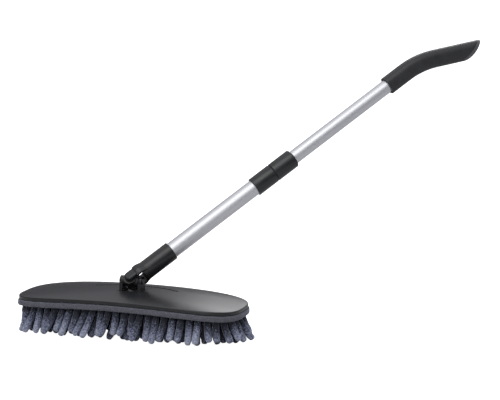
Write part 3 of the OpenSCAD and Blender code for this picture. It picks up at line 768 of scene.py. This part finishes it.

# %% [markdown]
# The base is a thin slab that follows the arch. Only its underside shows, between the
# fingers' roots, so it is grown as a plain slab.

# %% Pad base
PAD_GAP = 0.1
PAD_EDGE = 0.6
PAD_SHARES = [k / 8 for k in range(1, 8)] + [0.99]
pad_margin = hem_out - HEM_T - PAD_GAP
pad_top = (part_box("pad_base")[1] / MM).z
pad_bm = bmesh.new()
lower = [arched_ring(pad_margin, s, pile_z) for s in PAD_SHARES]
edge = [arched_ring(pad_margin, 1, pile_z + PAD_EDGE), arched_ring(pad_margin, 1, pad_top - PAD_EDGE)]
upper = [arched_ring(pad_margin, s, pad_top) for s in PAD_SHARES[::-1]]
grow(pad_bm, lower + edge + upper)
pad = finish_mesh(pad_bm, "pad_cloth_base", loop_cloth)
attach(pad, "head")
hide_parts("pad_base")
print("pad base faces:", len(pad.data.polygons))

# %% [markdown]
# ## The chenille fingers
#
# The fingers are sewn in rows that follow the outline, a little further apart than they are
# thick, so they hold each other up: the inner ones hang nearly straight, and the outer ones
# lean out, pushed by the crowd behind them. Their tips are pushed apart a little in each of
# forty passes. It is a simple crowd simulation, and its chance leans come from a fixed seed,
# so the fingers stand in the same places each time.

# %% Where the fingers are sewn on
FINGER_D = 9.8
LONGEST = 48
ROW_STEP = 11.4
FINGER_STEP = 12.4
FIRST_ROW = 8.5
LAST_ROW = 4
ROOT_SINK = 1
ROOT_STRAY = 0.8
EDGE_ROWS = 2
chance = random.Random(12)

roots, rows, outwards = [], [], []
row = 0
while FIRST_ROW + row * ROW_STEP < half_w - LAST_ROW:
    margin = -(FIRST_ROW + row * ROW_STEP)
    girth = even_angles(8, margin)[1]
    row_angles = even_angles(max(6, round(girth / FINGER_STEP)), margin)[0]
    for angle in row_angles:
        x, y = on_outline(angle, margin)
        x += chance.uniform(-ROOT_STRAY, ROOT_STRAY)
        y += chance.uniform(-ROOT_STRAY, ROOT_STRAY)
        here, there = on_outline(angle, 0), on_outline(angle + 0.002, 0)
        outwards.append(Vector((there[1] - here[1], here[0] - there[0], 0)).normalized())
        roots.append(Vector((x, y, pile_z + ROOT_SINK - arch(x))))
        rows.append(row)
    row += 1
print("fingers:", len(roots), "in rows:", row)

# %% [markdown]
# Fingers on a real pad never hang quite straight, so each one leans a little by chance. How
# far they lean out and how high their tips end is given for the outer row, the next one and
# the rest. Along the head they also drift to one side, and towards the end at negative x the
# tips of all rows reach lower.

# %% Let the tips settle
TIP_HEIGHTS = [(4, 11), (0.3, 5), (0.3, 3)]
LOWER_PLACES = [-0.9, -0.3]
LOWER_SHARES = [0.15, 1.0]
LEANS = [14, 9, 4]
DRIFT_PLACES = [-1, -0.85, -0.6, 0, 0.6, 0.85, 1]
DRIFT_ANGLES = [17, -4, -16, -8, -5, 5, 26]
CHANCE_LEAN = 8
CHANCE_STRAY = 7
PASSES = 40
CLOSEST = 0.98
PUSH = 0.35
SPRING_BACK = 0.03
TIP_FLOOR = 0.1

root_array = np.array(roots)
lengths, rest = [], []
for root, row_number, outward in zip(roots, rows, outwards):
    group = min(row_number, 2)
    place = root.x / half_l
    lean = math.radians(LEANS[group] + chance.uniform(-CHANCE_LEAN, CHANCE_LEAN))
    drift = math.tan(math.radians(float(np.interp(place, DRIFT_PLACES, DRIFT_ANGLES))))
    stray = math.radians(chance.uniform(-CHANCE_STRAY, CHANCE_STRAY))
    sideways = Vector((-outward.y, outward.x, 0))
    hang = outward * math.sin(lean) + sideways * math.sin(stray) - Vector((-drift, 0, math.cos(lean)))
    rest.append(hang.normalized())
    tip_height = chance.uniform(*TIP_HEIGHTS[group]) * float(np.interp(place, LOWER_PLACES, LOWER_SHARES))
    lengths.append(min((root.z - tip_height) / -rest[-1].z, LONGEST))
lengths, rest = np.array(lengths), np.array(rest)
tips = root_array + rest * lengths[:, None]
for _ in range(PASSES):
    gaps = tips[:, None, :2] - tips[None, :, :2]
    apart = np.linalg.norm(gaps, axis=2)
    np.fill_diagonal(apart, 1e3)
    short = np.clip(FINGER_D * CLOSEST - apart, 0, None) * PUSH
    tips[:, :2] += (gaps / apart[:, :, None] * short[:, :, None]).sum(axis=1)
    tips = tips * (1 - SPRING_BACK) + (root_array + rest * lengths[:, None]) * SPRING_BACK
    arms = tips - root_array
    arms *= (lengths / np.linalg.norm(arms, axis=1))[:, None]
    tips = root_array + arms
    tips[:, 2] = np.clip(tips[:, 2], TIP_FLOOR, None)
print("lowest tip, mm:", round(float(tips[:, 2].min()), 2), " highest:", round(float(tips[:, 2].max()), 1))

# %% [markdown]
# A finger is grown as rings along a bent line: it leaves the cloth straight and thin, is
# thickest past its middle, and ends round. The two outer rows, which show most, have twelve
# sides and many rings. All those inside have eight sides and few rings. Two attributes
# travel with the vertices for the cloth's colour: one shifts each finger a little, and one
# runs from the root to the tip, which paints shade at the root, under the head, and light
# at the tip. The fingers behind the outer row are all shifted to the dark side. That is
# painted shade, standing in for the shade between the fingers of a real pad, whose fringe
# of loops isn't modelled.


# %% Grow the fingers
KNEE = 0.22


def finger(bm, root, tip, sides, stations, tone_and_shade, layers):
    """One finger from root to tip, with its colour attributes."""
    knee = root + (tip - root) * KNEE
    knee.z = (root.z + tip.z) / 2
    rings = []
    for t, girth in stations:
        middle = root * (1 - t) ** 2 + knee * 2 * t * (1 - t) + tip * t ** 2
        along = ((knee - root) * (1 - t) + (tip - knee) * t).normalized()
        side = along.cross(Vector((0, 1, 0))).normalized()
        front = along.cross(side)
        swell = FINGER_D / 2 * girth
        rings.append([middle + (side * math.cos(a) + front * math.sin(a)) * swell
                      for a in (2 * math.pi * k / sides for k in range(sides))])
    grown = grow(bm, rings)
    # The first attribute holds the finger's tone and painted shade. The second holds the run from root to
    # tip, which paints shade and light.
    for ring, (t, _) in zip(grown, stations):
        for vert in ring:
            if vert.is_valid:
                vert[layers[0]] = tone_and_shade
                vert[layers[1]] = t - 0.5


FINE_STATIONS = [(0.0, 0.62), (0.06, 0.74), (0.14, 0.86), (0.24, 0.94), (0.34, 0.98), (0.45, 1.0),
                 (0.56, 1.02), (0.67, 1.03), (0.78, 1.04), (0.87, 1.02), (0.925, 0.93), (0.962, 0.76),
                 (0.986, 0.52), (0.998, 0.22)]
COARSE_STATIONS = [(0.0, 0.7), (0.25, 0.95), (0.6, 1.0), (0.87, 1.0), (0.96, 0.74), (0.995, 0.25)]


def pile(name, wanted, sides, stations):
    """All fingers of the wanted rows as one piece."""
    bm = bmesh.new()
    layers = (bm.verts.layers.float.new("tone_and_shade"), bm.verts.layers.float.new("reach"))
    for root, tip, row_number in zip(roots, tips, rows):
        if wanted(row_number):
            # The outer row gets a random tone, and the rows behind it are shifted dark, as painted shade.
            shade = chance.uniform(-0.25, 0.5) if row_number == 0 else chance.uniform(-1.2, -0.4)
            finger(bm, root, Vector(tip), sides, stations, shade, layers)
    uneven(bm, 0.7, 5, (1, 1, 0.4))
    uneven(bm, 0.4, 1.7, (1, 1, 0.4))
    piece = finish_mesh(bm, name, chenille_fibre, 180)
    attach(piece, "head")
    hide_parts("chenille_pile")
    print(name, "faces:", len(piece.data.polygons))


pile("outer_fingers", lambda n: n < EDGE_ROWS, 12, FINE_STATIONS)
pile("inner_fingers", lambda n: n >= EDGE_ROWS, 8, COARSE_STATIONS)

# %% [markdown]
# ## The grip
#
# The grip runs straight out of the pole, bends by 24 degrees, and ends in a nose that is
# rounded both ways. It could be a bevelled curve, but then its end couldn't be cut on a
# slant, so it is grown ring by ring along its middle line. Its section is a rounded square
# whose corners make the soft ridge between the top and the sides.

# %% The grip's own directions, from the pole
GRIP_STRAIGHT = 35
BEND_R = 130
BEND_ANGLE = math.radians(24)
END_L = 78.5
NOSE_R = 44
NOSE_LEAN = math.radians(20)
NOSE_ACROSS = 34
LEAST_ROOM = 16
CAP_T = 5
SEAM_LEAN = 1.2
GRIP_WALL = 1.2
GRIP_HALF_D = 13.6
GRIP_HALF_W = 13.0
GRIP_POWER = 2.8
GRIP_POINTS = 48

shell_places = [v.co for v in frame["nodes"]["grip_shell"].data.vertices]
grip_z = min((p - pivot).dot(pole_axis) for p in shell_places) / MM
mouth = pivot / MM + pole_axis * grip_z
under = (Vector((0, 0, -1)) + pole_axis * pole_axis.z).normalized()
across = pole_axis.cross(under)
print("grip mouth along the pole, mm:", round(grip_z, 1))


def grip_station(run):
    """(middle, direction to the underside, direction along) at a run in mm from the mouth."""
    bend = min(max((run - GRIP_STRAIGHT) / BEND_R, 0), BEND_ANGLE)
    line = max(run - GRIP_STRAIGHT - BEND_R * BEND_ANGLE, 0)
    x = BEND_R * (1 - math.cos(bend)) + line * math.sin(bend)
    z = min(run, GRIP_STRAIGHT) + BEND_R * math.sin(bend) + line * math.cos(bend)
    middle = mouth + under * x + pole_axis * z
    return (middle, under * math.cos(bend) - pole_axis * math.sin(bend),
            under * math.sin(bend) + pole_axis * math.cos(bend))


def section(inset, share=1.0):
    """Points (towards the underside, across) of the grip's section."""
    turns = [2 * math.pi * (k + 0.5) / GRIP_POINTS for k in range(GRIP_POINTS)]
    power = 2 / GRIP_POWER
    return [(share * (GRIP_HALF_D - inset) * math.copysign(abs(math.cos(a)) ** power, math.cos(a)),
             share * (GRIP_HALF_W - inset) * math.copysign(abs(math.sin(a)) ** power, math.sin(a)))
            for a in turns]


def grip_ring(run, inset):
    """A square-on ring of the grip."""
    middle, down, _ = grip_station(run)
    return [middle + down * x + across * y for x, y in section(inset)]


bend_end = GRIP_STRAIGHT + BEND_R * BEND_ANGLE
nose_x = -GRIP_HALF_D - NOSE_R * math.sin(NOSE_LEAN)
nose_z = END_L - NOSE_R * math.cos(NOSE_LEAN)


def nose_ring(inset, back, share=1.0, part=1.0):
    """A ring on the rounded nose, moved back, or at a part of the way to it from the bend.

    The further back a ring is, the more it leans back towards the underside.
    """
    middle, down, ahead = grip_station(bend_end)
    ring = []
    for x, y in section(inset, share):
        room = NOSE_R ** 2 * (1 - (y / NOSE_ACROSS) ** 2) - (x - nose_x) ** 2
        leaning_back = back * (1 + SEAM_LEAN * (x / GRIP_HALF_D + 1) / 2)
        z = (nose_z - leaning_back + math.sqrt(max(room, LEAST_ROOM))) * part
        ring.append(middle + down * x + across * y + ahead * z)
    return ring


# %% Grip shell
LIP = 0.5
SEAM = 0.3
straight_runs = [LIP * 3, 10, 20, 30]
bend_runs = [GRIP_STRAIGHT + BEND_R * BEND_ANGLE * k / 12 for k in range(13)]
parts = [0.15, 0.3, 0.45, 0.6, 0.75, 0.88, 0.96]


def grip_wall_rings(inset, back):
    """Rings from the mouth to the nose."""
    return ([grip_ring(run, inset) for run in straight_runs + bend_runs]
            + [nose_ring(inset, back, part=p) for p in parts])


shell_back = CAP_T + SEAM
outer_rings = ([grip_ring(0, LIP), grip_ring(LIP * 0.4, LIP * 0.2), grip_ring(LIP * 1.4, 0)]
               + grip_wall_rings(0, shell_back)
               + [nose_ring(0, shell_back + 0.3), nose_ring(0.1, shell_back + 0.08),
                  nose_ring(0.35, shell_back)])
inner_rings = ([nose_ring(GRIP_WALL, shell_back)]
               + grip_wall_rings(GRIP_WALL, shell_back)[::-1] + [grip_ring(0.01, GRIP_WALL)])
shell_bm = bmesh.new()
grow(shell_bm, outer_rings + inner_rings, hoop=True)
shell = finish_mesh(shell_bm, "grip_rubber_shell", soft_touch_rubber, 50)

# %% [markdown]
# Two screws hold the grip on its core, from below. Their heads sit at the bottom of round
# recesses, which are cut through the rubber square to its underside.

# %% Screw recesses
SCREW_RUNS = [13, GRIP_STRAIGHT + BEND_R * math.radians(7)]
RECESS_R = 3.5
RECESS_CUT_L = 20
RECESS_OUT = 4
for run in SCREW_RUNS:
    middle, down, _ = grip_station(run)
    recess_bm = bmesh.new()
    bmesh.ops.create_cone(recess_bm, cap_ends=True, segments=40, radius1=RECESS_R, radius2=RECESS_R,
                          depth=RECESS_CUT_L)
    bmesh.ops.rotate(recess_bm, matrix=down.to_track_quat("Z", "Y").to_matrix(), verts=recess_bm.verts[:])
    bmesh.ops.translate(recess_bm, vec=middle + down * (GRIP_HALF_D + RECESS_OUT), verts=recess_bm.verts[:])
    combine(shell, recess_bm, sharp_degrees=50)
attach(shell, "upper_pole")
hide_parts("grip_shell")
print("grip shell faces:", len(shell.data.polygons))

# %% [markdown]
# The end cap fills the slanted end. Its face bulges both along and across the grip, and its
# edge is rounded so that it doesn't press into the palm. A hair of a gap shows where it meets
# the shell, and this seam leans back towards the underside.

# %% Grip end cap
EDGE_STEPS = 4
EDGE_ROUND = 1.0
cap_rings = [nose_ring(GRIP_WALL, CAP_T - 0.3, share=0.5), nose_ring(GRIP_WALL, CAP_T - 0.1),
             nose_ring(0.35, CAP_T), nose_ring(0.08, CAP_T - 0.1), nose_ring(0, CAP_T - 0.4)]
cap_rings += [nose_ring(EDGE_ROUND * (1 - math.cos(a)), EDGE_ROUND * (1 - math.sin(a)))
              for a in (math.pi / 2 * k / EDGE_STEPS for k in range(EDGE_STEPS + 1))]
cap_rings += [nose_ring(EDGE_ROUND, 0, share=s) for s in (0.92, 0.8, 0.65, 0.5, 0.35, 0.2, 0.08)]
cap_bm = bmesh.new()
grow(cap_bm, cap_rings)
cap = finish_mesh(cap_bm, "grip_cap", cap_rubber, 50)
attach(cap, "upper_pole")
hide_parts("grip_end_cap")
print("cap faces:", len(cap.data.polygons))
